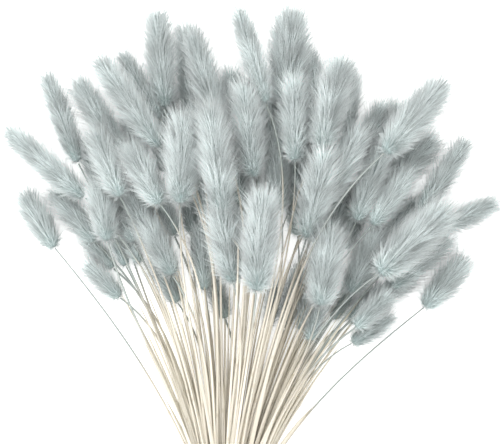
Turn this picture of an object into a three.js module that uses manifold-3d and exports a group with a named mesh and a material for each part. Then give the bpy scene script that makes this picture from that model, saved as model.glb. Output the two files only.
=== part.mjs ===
// A bunch of dried hare's-tail grass: furry blue-grey seed heads on thin cream stems, tied with twine.
// Millimetres. The bunch lies on z = 0 with its stems along -Y and its heads along +Y.
// Places below are measured from the middle of the tie. The bunch is moved to its own origin at the end.
import * as THREE from 'three';
import { mergeVertices } from 'three/addons/utils/BufferGeometryUtils.js';
import Module from 'manifold-3d';

const wasm = await Module();
wasm.setup();
const { Manifold, Mesh } = wasm;

// Driving dimensions of the waist, where the stems run together
const WAIST_RADIUS = 10.5;
const WAIST_LENGTH = 16;
const WAIST_SIDES = 20;
const WAIST_RIM = 0.4;
const WAIST_COLUMNS = 9;
const STEM_ROOT = 4;

// Driving dimensions of the twine tie. Its lowest turns lie on the surface and carry the waist.
const TWINE_RADIUS = 1.3;
const TWINE_TURNS = 4;
const TIE_CLEARANCE = 0.5;
const TIE_SIDES = 20;
const TURN_CORNER = 0.6;
const TWINE_GROOVE = 0.2;
const KNOT_SIZE = [10, 6, 5];
const KNOT_SIDES = [8, 6];
const TWINE_END = [[1, 0.4, 0.5], [8, 1.5, -0.5], [14.5, 2.4, -6], [18, 3.2, -14]];
const WAIST_HEIGHT = WAIST_RADIUS + TIE_CLEARANCE + TWINE_RADIUS * (1 + Math.cos(TURN_CORNER));

// Driving dimensions of the stems
const STEM_RADIUS = 0.85;
const STEM_SIDES = 3;
const STEM_POINTS = 22;
const STEM_TOLERANCE = 1.8;
const STEM_FIXED_AT_WAIST = 3;
const STEM_FIXED_AT_HEAD = 2;
const STEM_GATHERED = 0.45;
const STEM_SWEEP = 1.4;
const STEM_REACH_AT_WAIST = 0.4;
const STEM_REACH_AT_HEAD = 0.3;
const BENDING_ROUNDS = 135;
const CLEARING_ROUNDS = 15;
const STEM_SMOOTHING = 0.3;
const PUSH_SHARE = 0.5;
const CHANNEL_GAP = 0.7;

// Driving dimensions of the stem ends below the tie
const TAIL_LENGTH = 84;
const TAIL_LENGTH_SPREAD = 14;
const TAIL_SPREAD = 1.15;
const TAIL_RISE = 0.2;
const TAIL_WANDER = 3;
const TAIL_BEND = 0.35;
const TAIL_SEED = 5000;

// Driving dimensions of the leaf sheaths, which start and end at numbered points of a stem
const SHEATH_EVERY = 6;
const SHEATH_FROM = 3;
const SHEATH_TO = 11;
const SHEATH_WIDTH = 3.4;
const SHEATH_THICKNESS = 2.2;
const SHEATH_TAPER = 0.6;

// Driving dimensions of the dry leaf blades, which rise in a fan between the stems: angles in degrees
const BLADE_COUNT = 16;
const BLADE_FAN = [-23, 33];
const BLADE_LENGTHS = [100, 175];
const BLADE_WIDTHS = [2.6, 4.2];
const BLADE_FLATNESS = 0.6;
const BLADE_ROOTS = 0.8;
const BLADE_RISE = 0.16;
const BLADE_GATHERED = 0.4;
const BLADE_TIP = 0.45;
const BLADE_SEED = 9000;

// Driving dimensions of the seed heads, with the rings of tufts on a head of each layer
const HEAD_RINGS = [4, 6, 7, 7];
const HEAD_SIDES = 8;
const HEAD_WIDEST_LOW = 0.85;
const HEAD_BLUNTNESS = 0.5;
const TUFT_TIP = 0.85;
const TUFT_FOOT = 0.4;
const TUFT_DEPTH = 0.2;
const TUFT_UNEVENNESS = 0.07;
const TUFT_SEED = 1000;
const LENGTH_PER_WIDTH = 2;
const BASE_GAP = 0.35;
const NEIGHBOUR_GAP = 0.5;
const FLOOR_PRESS = 3;
const PRESSED_TOGETHER = 6.5;
const PRESSED_AT_LEAST = 3.8;
const MOST_IN_A_NODE = 4;
const MOST_HEAD_NODES = 58;

// How far a layer of the pile rises for each millimetre away from the tie, from the lowest layer up
const LAYER_RISE = [0, -0.02, 0.07, 0.14];
const EDGE_DROP = 0.6;
const HALF_FAN_WIDTH = 185;
const HEAD_SLOPES = [-0.3, -0.2, -0.1, 0, 0.1, 0.2, 0.3];
const HEIGHT_PER_SLOPE = 20;

// Each seed head in millimetres: tip x, tip y, base x, base y, width, layer in the pile (3 on top)
const SEEN_HEADS = [
  [-155.5, 288, -99.5, 239.5, 20, 2],
  [-127, 327.5, -104, 264, 18, 2],
  [-105.5, 322, -74, 271, 21, 2],
  [-90, 337.5, -46, 274, 21, 3],
  [-74, 341, -47, 295, 16, 2],
  [-49.5, 371, -43, 302, 22, 2],
  [-29.5, 361.5, -21, 287, 23, 1],
  [-25, 357, -0.5, 273, 21, 2],
  [8, 372, 28, 305, 18, 3],
  [45.5, 370.5, 42.5, 305, 33, 2],
  [59, 344, 64, 280, 19, 1],
  [47, 323, 48, 265, 22, 3],
  [12, 321, 19, 253, 22, 3],
  [81, 336.5, 66, 274, 25, 3],
  [89, 329, 84, 283, 16, 1],
  [110.5, 305, 91, 266, 19, 2],
  [121, 306, 106, 273, 16, 1],
  [152, 320, 110, 270.5, 26, 3],
  [169.5, 280.5, 135, 229, 18, 2],
  [190, 236, 151, 218.5, 18, 1],
  [168.5, 195.5, 139.5, 163, 22, 1],
  [116, 157, 89, 138, 17, 1],
  [-143, 242, -121, 204.5, 21, 1],
  [-99, 193.5, -76.5, 171, 17, 1],
  [-122, 245, -92.5, 208.5, 20, 1],
  [-91, 286, -74, 240, 22, 3],
  [-91, 252, -83, 209, 21, 2],
  [-79, 244, -65, 208, 18, 1],
  [-69, 276, -46, 235, 23, 3],
  [-69, 249, -54, 207, 20, 2],
  [-100, 212, -80, 190, 14, 0],
  [-80, 216, -71, 192, 13, 0],
  [-70, 216, -62, 195, 12, 0],
  [-56, 223, -41, 192, 21, 2],
  [-50, 196, -35.5, 168, 17, 1],
  [-30, 297, -32, 235, 27, 3],
  [-20, 273, -14, 226, 18, 1],
  [-48, 245, -37, 214, 17, 1],
  [-26, 245, -25, 216, 15, 0],
  [-12, 305, -2, 227, 24, 3],
  [0, 294, 9, 235, 17, 1],
  [-5, 232, 5, 180, 24, 3],
  [26, 244, 21, 174, 28, 3],
  [32, 295, 38, 230, 21, 2],
  [70, 273, 56, 211, 25, 3],
  [73, 217, 66, 168, 27, 3],
  [52, 193, 41, 147, 14, 0],
  [57, 172, 52, 146, 12, 0],
  [35, 179, 29, 148, 12, 0],
  [66, 168, 60, 146, 15, 0],
  [-10, 185, -2, 158, 16, 0],
  [-20, 222, -15, 174, 16, 0],
  [108, 218, 88, 176, 25, 2],
  [155, 232.5, 106, 186, 30, 3],
  [158, 212, 115, 176, 19, 1],
  [132, 185, 107, 168, 18, 0],
  [115, 172, 95, 153, 17, 1],
  [91, 179, 81, 164, 15, 0],
  [108, 176, 91, 157, 16, 0],
  [129, 259, 102, 220, 20, 2],
  [146, 281.5, 112, 247, 25, 1],
  [110, 277, 91, 223, 22, 2],
  [94, 287, 69, 238, 24, 2],
  [87, 249, 71, 213, 18, 1],
  [97, 245, 83, 203, 18, 1],
  [19, 262, 18, 214, 20, 0],
  [47, 246, 50, 213, 16, 1],
  [4, 329, 1, 285, 20, 1],
  [-42, 318, -44, 257, 22, 0],
  [32, 326, 30, 276, 24, 0],
  [60, 290, 48, 242, 22, 0],
  [134, 238, 108, 204, 18, 1],
  [-99, 281, -89, 243, 15, 1],
];

// Rows of heads on the far side of the bunch: distance from the tie, number, first and last angle
const BACK_ROWS = [
  [236, 3, -14, 18],
  [288, 5, -13, 23],
];
const BACK_HEAD_LENGTH = 46;
const BACK_HEAD_WIDTH = 20;

// Vertices nearer to each other than this are one
const SAME_PLACE = 1e-4;

const HEAD_LOOK = { color: 0xa4adac, roughness: 0.95 };
const STEM_LOOK = { color: 0xd1cab9, roughness: 0.7 };
const TWINE_LOOK = { color: 0xb39b74, roughness: 0.9 };

// Seeded random numbers from 0 to 1, the same in every run
function seededRandom(seed) {
  let state = seed;
  return () => {
    state = (state * 16807) % 2147483647;
    return state / 2147483647;
  };
}

// The radius of a head at t along it, 0 at its base and 1 at its tip: a blunt oval, widest below its middle
function headRadius(head, t) {
  const along = Math.min(Math.max(t, 0), 1);
  return (head.width / 2) * Math.sin(Math.PI * along ** HEAD_WIDEST_LOW) ** HEAD_BLUNTNESS;
}

// A head that its neighbours partly hide runs back under them, to the length that its width calls for
function plannedHead([tipX, tipY, baseX, baseY, width, layer]) {
  const tip = new THREE.Vector2(tipX, tipY);
  const back = new THREE.Vector2(baseX, baseY).sub(tip);
  const length = Math.max(back.length(), LENGTH_PER_WIDTH * width);
  const base = tip.clone().add(back.setLength(length));
  return { tip, base, length, width, layer };
}

function backHeads() {
  const heads = [];
  for (const [distance, count, firstAngle, lastAngle] of BACK_ROWS) {
    for (let i = 0; i < count; i += 1) {
      const turn = THREE.MathUtils.degToRad(firstAngle + ((lastAngle - firstAngle) * i) / (count - 1));
      const near = distance - BACK_HEAD_LENGTH / 2;
      const far = distance + BACK_HEAD_LENGTH / 2;
      const across = Math.sin(turn);
      const away = Math.cos(turn);
      heads.push([far * across, far * away, near * across, near * away, BACK_HEAD_WIDTH, 0]);
    }
  }
  return heads;
}

// The points along a head that the pile is settled by, each with the head's radius there
const STATIONS = [0.04, 0.13, 0.23, 0.34, 0.46, 0.58, 0.7, 0.82, 0.93];

function stations(head) {
  return STATIONS.map((t) => {
    const place = head.base.clone().lerp(head.tip, t);
    return { t, place, radius: headRadius(head, t) };
  });
}

// The lowest that the middle of a head can lie at a slope, and the head that carries it there
function restHeight(head, slope, placed, pressed) {
  let height = -Infinity;
  let carrier = null;
  for (const own of head.stations) {
    const lift = slope * (own.t - 0.5) * head.length;
    height = Math.max(height, own.radius - FLOOR_PRESS - lift);
    for (const other of placed) {
      const give = other === pressed ? PRESSED_TOGETHER : -NEIGHBOUR_GAP;
      for (const under of other.stations) {
        const reach = own.radius + under.radius - give;
        const apart = own.place.distanceTo(under.place);
        if (apart >= reach) continue;
        const needed = under.height + Math.sqrt(reach * reach - apart * apart) - lift;
        if (needed > height) {
          height = needed;
          carrier = other;
        }
      }
    }
  }
  return { height, carrier };
}

function layBest(head, placed, pressed) {
  const middle = head.base.clone().add(head.tip).multiplyScalar(0.5);
  const edge = 1 - EDGE_DROP * (middle.x / HALF_FAN_WIDTH) ** 2;
  const rise = LAYER_RISE[head.layer] * edge;
  const wanted = head.layer === 0 ? 0 : WAIST_HEIGHT + rise * middle.length();
  let best = null;
  for (const slope of HEAD_SLOPES) {
    const rest = restHeight(head, slope, placed, pressed);
    const height = Math.max(rest.height, wanted);
    const cost = height + HEIGHT_PER_SLOPE * Math.abs(slope - rise);
    const carrier = rest.height >= wanted ? rest.carrier : null;
    if (!best || cost < best.cost) best = { cost, height, slope, carrier };
  }
  return best;
}

function place(head, lie) {
  head.slope = lie.slope;
  head.stations.forEach((own) => {
    own.height = lie.height + lie.slope * (own.t - 0.5) * head.length;
  });
  const half = (lie.slope * head.length) / 2;
  head.start = new THREE.Vector3(head.base.x, head.base.y, lie.height - half);
  head.end = new THREE.Vector3(head.tip.x, head.tip.y, lie.height + half);
}

// How deep two heads are pressed into each other
function pressedDepth(head, other) {
  let depth = 0;
  for (const own of head.stations) {
    for (const under of other.stations) {
      const apart = Math.hypot(own.place.distanceTo(under.place), own.height - under.height);
      depth = Math.max(depth, own.radius + under.radius - apart);
    }
  }
  return depth;
}

// The pile settles from the lowest layer up. Some heads are pressed into the one that carries them.
function settledPile() {
  const heads = [...SEEN_HEADS, ...backHeads()].map(plannedHead);
  heads.forEach((head, index) => {
    head.number = index + 1;
    head.stations = stations(head);
    head.mates = [head];
  });
  const order = [...heads].sort((a, b) => a.layer - b.layer || a.number - b.number);
  let pairsLeft = heads.length - MOST_HEAD_NODES;
  const placed = [];
  for (const head of order) {
    const lie = layBest(head, placed, null);
    const carrier = lie.carrier;
    place(head, lie);
    if (pairsLeft > 0 && carrier && carrier.mates.length < MOST_IN_A_NODE) {
      place(head, layBest(head, placed, carrier));
      if (pressedDepth(head, carrier) >= PRESSED_AT_LEAST) {
        carrier.mates.push(head);
        head.mates = carrier.mates;
        pairsLeft -= 1;
      } else {
        place(head, lie);
      }
    }
    placed.push(head);
  }
  return heads;
}

// A head's closed surface: rings of tufts raised in a checkerboard, each tuft leaning toward the tip
function tuftedHead(head) {
  const random = seededRandom(TUFT_SEED * head.number);
  const axis = head.end.clone().sub(head.start);
  const length = axis.length();
  axis.normalize();
  const side = new THREE.Vector3(0, 0, 1).cross(axis).normalize();
  const up = axis.clone().cross(side);
  const rings = HEAD_RINGS[head.layer];
  const step = 1 / (rings + TUFT_FOOT);
  const places = [];
  const addPoint = (t, radius, turn) => {
    const point = head.start.clone().addScaledVector(axis, t * length);
    point.addScaledVector(side, radius * Math.cos(turn));
    point.addScaledVector(up, radius * Math.sin(turn));
    places.push(point.x, point.y, Math.max(point.z, 0));
  };
  for (let i = 0; i < rings; i += 1) {
    for (let j = 0; j < HEAD_SIDES; j += 1) {
      const raised = (i + j) % 2 === 0;
      const t = (i + (raised ? TUFT_TIP : TUFT_FOOT)) * step;
      const uneven = 1 + TUFT_UNEVENNESS * (2 * random() - 1);
      const radius = headRadius(head, t) * (raised ? 1 : 1 - TUFT_DEPTH) * Math.min(uneven, 1);
      addPoint(t, radius, (2 * Math.PI * (j + 0.5)) / HEAD_SIDES);
    }
  }
  addPoint(0, 0, 0);
  addPoint(1, 0, 0);
  const basePole = rings * HEAD_SIDES;
  const tipPole = basePole + 1;
  const faces = [];
  const at = (i, j) => i * HEAD_SIDES + (j % HEAD_SIDES);
  for (let j = 0; j < HEAD_SIDES; j += 1) {
    faces.push(basePole, at(0, j + 1), at(0, j));
    faces.push(tipPole, at(rings - 1, j), at(rings - 1, j + 1));
    for (let i = 0; i < rings - 1; i += 1) {
      const [a, b] = [at(i, j), at(i, j + 1)];
      const [c, d] = [at(i + 1, j + 1), at(i + 1, j)];
      if ((i + j) % 2 === 0) faces.push(a, b, d, b, c, d);
      else faces.push(a, b, c, a, c, d);
    }
  }
  return closedGeometry(places, faces);
}

// A geometry whose faces point outward, whichever way round they were listed
function closedGeometry(places, faces) {
  const geometry = new THREE.BufferGeometry();
  geometry.setAttribute('position', new THREE.BufferAttribute(new Float32Array(places), 3));
  let volume = 0;
  const [a, b, c] = [new THREE.Vector3(), new THREE.Vector3(), new THREE.Vector3()];
  for (let k = 0; k < faces.length; k += 3) {
    a.fromArray(places, 3 * faces[k]);
    b.fromArray(places, 3 * faces[k + 1]);
    c.fromArray(places, 3 * faces[k + 2]);
    volume += a.dot(b.cross(c));
  }
  geometry.setIndex(volume > 0 ? faces : [...faces].reverse());
  return geometry;
}

// A straw through a list of points, with the same few sides all along and flat ends
function strawGeometry(points, radii, flatness = 1) {
  const places = [];
  const faces = [];
  let side = null;
  points.forEach((point, k) => {
    const before = points[Math.max(k - 1, 0)];
    const after = points[Math.min(k + 1, points.length - 1)];
    const along = after.clone().sub(before).normalize();
    const level = side || new THREE.Vector3(0, 0, 1).cross(along);
    side = level.clone().addScaledVector(along, -level.dot(along)).normalize();
    const up = along.clone().cross(side);
    for (let j = 0; j < STEM_SIDES; j += 1) {
      const turn = (2 * Math.PI * j) / STEM_SIDES + Math.PI / 2;
      const corner = point.clone();
      corner.addScaledVector(side, radii[k] * Math.cos(turn));
      corner.addScaledVector(up, radii[k] * flatness * Math.sin(turn));
      places.push(corner.x, corner.y, corner.z);
    }
  });
  const last = (points.length - 1) * STEM_SIDES;
  for (let k = 0; k < points.length - 1; k += 1) {
    for (let j = 0; j < STEM_SIDES; j += 1) {
      const next = (j + 1) % STEM_SIDES;
      const [a, b] = [k * STEM_SIDES + j, k * STEM_SIDES + next];
      const [c, d] = [b + STEM_SIDES, a + STEM_SIDES];
      faces.push(a, b, c, a, c, d);
    }
  }
  for (let j = 1; j < STEM_SIDES - 1; j += 1) {
    faces.push(0, j + 1, j);
    faces.push(last, last + j, last + j + 1);
  }
  return closedGeometry(places, faces);
}

// A geometry with nothing but places, and one vertex where several meet
function bareGeometry(geometry) {
  const plain = geometry.clone();
  plain.deleteAttribute('normal');
  plain.deleteAttribute('uv');
  return mergeVertices(plain, SAME_PLACE);
}

function solidOf(geometry) {
  const merged = bareGeometry(geometry);
  return new Manifold(new Mesh({
    numProp: 3,
    vertProperties: new Float32Array(merged.attributes.position.array),
    triVerts: new Uint32Array(merged.index.array),
  }));
}

function geometryOf(solid) {
  const mesh = solid.getMesh();
  const geometry = new THREE.BufferGeometry();
  geometry.setAttribute('position', new THREE.BufferAttribute(mesh.vertProperties, 3));
  geometry.setIndex(new THREE.BufferAttribute(mesh.triVerts, 1));
  return geometry;
}

// A sealed hollow or a loose scrap counts as a piece of its own, and is left out
function largestPiece(solid) {
  const pieces = solid.decompose();
  return pieces.reduce((best, piece) => (piece.volume() > best.volume() ? piece : best));
}

// Places for the stems across the round waist, evenly spread by the golden angle
function waistPlaces(count) {
  const golden = Math.PI * (3 - Math.sqrt(5));
  const reach = WAIST_RADIUS - STEM_RADIUS - WAIST_RIM;
  const places = [];
  for (let k = 0; k < count; k += 1) {
    const radius = reach * Math.sqrt((k + 0.5) / count);
    places.push(new THREE.Vector2(radius * Math.cos(k * golden), radius * Math.sin(k * golden)));
  }
  return places;
}

// Stems keep their order from the waist to the heads, left to right and low to high, so that few cross
function assignWaistPlaces(heads) {
  const perColumn = Math.ceil(heads.length / WAIST_COLUMNS);
  const byAngle = [...heads].sort((a, b) => a.start.x / a.start.y - b.start.x / b.start.y);
  const spots = waistPlaces(heads.length).sort((a, b) => a.x - b.x);
  for (let c = 0; c < heads.length; c += perColumn) {
    const group = byAngle.slice(c, c + perColumn).sort((a, b) => a.start.z - b.start.z);
    const column = spots.slice(c, c + perColumn).sort((a, b) => a.y - b.y);
    group.forEach((head, k) => {
      head.waist = column[k];
    });
  }
}

// A stem's line before it is bent clear of the heads
function plannedStem(head) {
  const root = new THREE.Vector3(head.waist.x, STEM_ROOT, WAIST_HEIGHT + head.waist.y);
  const axis = head.end.clone().sub(head.start).normalize();
  const foot = head.start.clone().addScaledVector(axis, -BASE_GAP);
  const reach = foot.distanceTo(root);
  const leaving = foot.clone().sub(root).normalize();
  leaving.lerp(new THREE.Vector3(0, 1, 0), STEM_GATHERED).normalize();
  const first = root.clone().addScaledVector(leaving, STEM_REACH_AT_WAIST * reach);
  const nod = axis.multiply(new THREE.Vector3(STEM_SWEEP, 1, 1)).normalize();
  const second = foot.clone().addScaledVector(nod, -STEM_REACH_AT_HEAD * reach);
  return new THREE.CubicBezierCurve3(root, first, second, foot).getPoints(STEM_POINTS - 1);
}

// A leaf blade's line before it is bent clear of the heads. It ends in the open, with no head of its own.
function plannedBlade(index) {
  const random = seededRandom(BLADE_SEED + index);
  const share = (index + 0.5) / BLADE_COUNT;
  const spread = BLADE_ROOTS * (WAIST_RADIUS - STEM_RADIUS - WAIST_RIM);
  const turn = THREE.MathUtils.degToRad(THREE.MathUtils.lerp(...BLADE_FAN, share));
  const length = THREE.MathUtils.lerp(...BLADE_LENGTHS, random());
  const height = WAIST_HEIGHT + spread * (random() - 0.5);
  const root = new THREE.Vector3(spread * (2 * share - 1), STEM_ROOT, height);
  const way = new THREE.Vector3(Math.sin(turn), Math.cos(turn), BLADE_RISE * (random() - 0.5));
  const end = root.clone().addScaledVector(way, length);
  const leaving = way.clone().lerp(new THREE.Vector3(0, 1, 0), BLADE_GATHERED);
  const bend = root.clone().addScaledVector(leaving, length / 2);
  const width = THREE.MathUtils.lerp(...BLADE_WIDTHS, random());
  return { width, line: new THREE.QuadraticBezierCurve3(root, bend, end).getPoints(STEM_POINTS - 1) };
}

// Moves a point partway out of every head that it lies in, straight away from the head's axis
function pushClear(point, heads) {
  const push = new THREE.Vector3();
  for (const head of heads) {
    const axis = head.end.clone().sub(head.start);
    const offset = point.clone().sub(head.start);
    const t = Math.min(Math.max(offset.dot(axis) / axis.lengthSq(), 0), 1);
    offset.addScaledVector(axis, -t);
    const room = headRadius(head, t) + STEM_RADIUS + NEIGHBOUR_GAP;
    const apart = Math.max(offset.length(), SAME_PLACE);
    if (apart < room) push.addScaledVector(offset, (PUSH_SHARE * (room - apart)) / apart);
  }
  point.add(push);
  point.z = Math.max(point.z, STEM_RADIUS);
}

// A line that would pass through a head is bent clear of it, in small steps that keep its bends smooth
function bentClear(planned, heads) {
  const points = planned.map((point) => point.clone());
  const firstFree = STEM_FIXED_AT_WAIST;
  const lastFree = STEM_POINTS - 1 - STEM_FIXED_AT_HEAD;
  for (let round = 0; round < BENDING_ROUNDS + CLEARING_ROUNDS; round += 1) {
    const smoothing = round < BENDING_ROUNDS ? STEM_SMOOTHING : 0;
    for (let k = firstFree; k <= lastFree; k += 1) {
      const between = points[k - 1].clone().sub(planned[k - 1]).add(points[k + 1]).sub(planned[k + 1]);
      points[k].lerp(planned[k].clone().addScaledVector(between, 0.5), smoothing);
      pushClear(points[k], heads);
    }
  }
  return points;
}

// Leaves out the points that lie close to the line between those kept
function thinnedOut(points) {
  const kept = (first, last) => {
    const line = new THREE.Line3(points[first], points[last]);
    let worst = first;
    let most = STEM_TOLERANCE;
    for (let k = first + 1; k < last; k += 1) {
      const nearest = line.closestPointToPoint(points[k], true, new THREE.Vector3());
      if (nearest.distanceTo(points[k]) > most) {
        most = nearest.distanceTo(points[k]);
        worst = k;
      }
    }
    return worst === first ? [first] : [...kept(first, worst), ...kept(worst, last)];
  };
  return [...kept(0, points.length - 1), points.length - 1].map((k) => points[k]);
}

// The stretch of a stem below the tie, splayed a little and cut off square
function tailPoints(head) {
  const random = seededRandom(TAIL_SEED + head.number);
  const length = TAIL_LENGTH + TAIL_LENGTH_SPREAD * (random() - 0.5);
  return [0, TAIL_BEND, 1].map((share) => {
    const x = head.waist.x * (1 + TAIL_SPREAD * share) + TAIL_WANDER * share * (random() - 0.5);
    const z = WAIST_HEIGHT + head.waist.y * (1 + TAIL_RISE * share);
    return new THREE.Vector3(x, -STEM_ROOT - length * share, Math.max(z, STEM_RADIUS));
  });
}

// A leaf sheath wraps the lower part of a stem and tapers to its skin partway up
function sheathGeometry(points, extra) {
  const stretch = points.slice(SHEATH_FROM, SHEATH_TO + 1).filter((_, k) => k % 2 === 0);
  const last = stretch.length - 1;
  const radii = stretch.map((_, k) => (SHEATH_WIDTH / 2) * (1 - (SHEATH_TAPER * k) / last) + extra);
  return strawGeometry(stretch, radii, SHEATH_THICKNESS / SHEATH_WIDTH);
}

// A leaf blade tapers from its middle to its tip, and is wider than it is thick
function bladeSolid(blade, extra) {
  const points = thinnedOut(blade.line);
  const radii = points.map((point) => {
    const share = point.distanceTo(points[0]) / points[points.length - 1].distanceTo(points[0]);
    return (blade.width / 2) * (1 - (1 - BLADE_TIP) * share * share) + extra;
  });
  return solidOf(strawGeometry(points, radii, BLADE_FLATNESS));
}

// The solids of one stem above the tie, with its sheath, all made wider by an amount
function upperStemSolids(head, extra) {
  const points = thinnedOut(head.stem);
  const solids = [solidOf(strawGeometry(points, points.map(() => STEM_RADIUS + extra)))];
  if (head.number % SHEATH_EVERY === 0) solids.push(solidOf(sheathGeometry(head.stem, extra)));
  return solids;
}

// All stems grow together in a short core at the waist, where they are packed side by side
function stemsSolid(heads, blades) {
  const core = new THREE.CylinderGeometry(WAIST_RADIUS, WAIST_RADIUS, WAIST_LENGTH, WAIST_SIDES);
  core.translate(0, 0, WAIST_HEIGHT);
  const pieces = [solidOf(core)];
  for (const head of heads) {
    const tail = tailPoints(head);
    pieces.push(...upperStemSolids(head, 0));
    pieces.push(solidOf(strawGeometry(tail, tail.map(() => STEM_RADIUS))));
  }
  for (const blade of blades) pieces.push(bladeSolid(blade, 0));
  return largestPiece(Manifold.union(pieces));
}

// The heads of one node, with a channel where a stem or blade still passes through them
function headsSolid(mates, strands) {
  let solid = Manifold.union(mates.map((head) => solidOf(tuftedHead(head))));
  for (const strand of strands) {
    if (strand.intersect(solid).volume() > 0) solid = solid.subtract(strand);
  }
  return largestPiece(solid);
}

// Turns of twine side by side round the waist, a flat knot on top and two short ends that hang down beside it
function tieSolid() {
  const inner = WAIST_RADIUS + TIE_CLEARANCE;
  const middle = inner + TWINE_RADIUS;
  const groove = middle + TWINE_GROOVE * TWINE_RADIUS;
  const profile = [new THREE.Vector2(inner, -TWINE_TURNS * TWINE_RADIUS)];
  for (let k = 0; k < TWINE_TURNS; k += 1) {
    const y = (2 * k + 1 - TWINE_TURNS) * TWINE_RADIUS;
    if (k > 0) profile.push(new THREE.Vector2(groove, y - TWINE_RADIUS));
    for (const turn of [-TURN_CORNER, TURN_CORNER]) {
      const out = middle + TWINE_RADIUS * Math.cos(turn);
      profile.push(new THREE.Vector2(out, y + TWINE_RADIUS * Math.sin(turn)));
    }
  }
  profile.push(new THREE.Vector2(inner, TWINE_TURNS * TWINE_RADIUS));
  profile.push(profile[0].clone());
  const ring = bareGeometry(new THREE.LatheGeometry(profile, TIE_SIDES));
  const turns = closedGeometry([...ring.attributes.position.array], [...ring.index.array]);
  turns.translate(0, 0, WAIST_HEIGHT);
  const top = WAIST_HEIGHT + middle + TWINE_RADIUS * Math.cos(TURN_CORNER);
  const knot = new THREE.SphereGeometry(0.5, ...KNOT_SIDES);
  knot.scale(...KNOT_SIZE);
  knot.translate(0, 0, top);
  const pieces = [solidOf(turns), solidOf(knot)];
  for (const way of [-1, 1]) {
    const points = TWINE_END.map(([x, y, z]) => new THREE.Vector3(way * x, way * y, top + z));
    pieces.push(solidOf(strawGeometry(points, points.map(() => TWINE_RADIUS))));
  }
  return largestPiece(Manifold.union(pieces));
}

function namedMesh(name, solid, look) {
  const material = new THREE.MeshStandardMaterial({ ...look, metalness: 0, flatShading: true });
  const mesh = new THREE.Mesh(geometryOf(solid), material);
  mesh.name = name;
  return mesh;
}

const heads = settledPile();
assignWaistPlaces(heads);
for (const head of heads) {
  head.stem = bentClear(plannedStem(head), heads.filter((other) => other !== head));
}
const blades = [];
for (let k = 0; k < BLADE_COUNT; k += 1) {
  const { width, line } = plannedBlade(k);
  blades.push({ width, line: bentClear(line, heads) });
}

const bunch = new THREE.Group();
bunch.add(namedMesh('stems', stemsSolid(heads, blades), STEM_LOOK));
bunch.add(namedMesh('tie', tieSolid(), TWINE_LOOK));
const channels = heads.flatMap((head) => upperStemSolids(head, CHANNEL_GAP));
channels.push(...blades.map((blade) => bladeSolid(blade, CHANNEL_GAP)));
for (const mates of new Set(heads.map((head) => head.mates))) {
  const name = mates.map((head) => String(head.number).padStart(2, '0')).join('_');
  bunch.add(namedMesh(`head_${name}`, headsSolid(mates, channels), HEAD_LOOK));
}

// The origin is under the middle of the whole bunch, on the surface that it lies on
const middle = new THREE.Box3().setFromObject(bunch, true).getCenter(new THREE.Vector3());
bunch.position.set(-middle.x, -middle.y, 0);
const group = new THREE.Group();
group.add(bunch);

export default group;
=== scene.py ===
import math

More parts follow.
